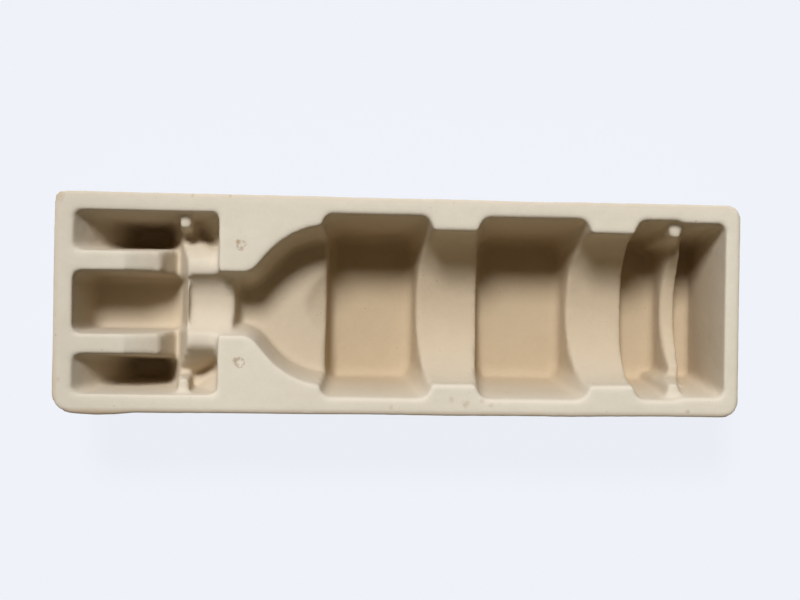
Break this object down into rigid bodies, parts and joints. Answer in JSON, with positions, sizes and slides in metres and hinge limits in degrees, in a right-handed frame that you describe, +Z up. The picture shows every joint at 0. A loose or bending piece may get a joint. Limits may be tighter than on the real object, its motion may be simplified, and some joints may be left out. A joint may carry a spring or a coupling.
{
  "type": "pulp bottle shipper insert",
  "caption": "Moulded-pulp tray, half of a shipper for one wine bottle: a flat deck pressed down into a cradle, cross saddles, neck supports and deep crush pockets.",
  "frame": {"origin": "middle of the tray's footprint, on the surface its pocket floors rest on", "axes": "+X along the tray towards the bottle's base end, +Y across it, +Z up out of the open cradle"},
  "size_m": [0.343, 0.108, 0.054],
  "materials": {
    "pulp": "matte, faintly fibrous, warm pale beige"
  },
  "bodies": {
    "root": {"pulp_insert": "pulp"}
  },
  "joints": []
}
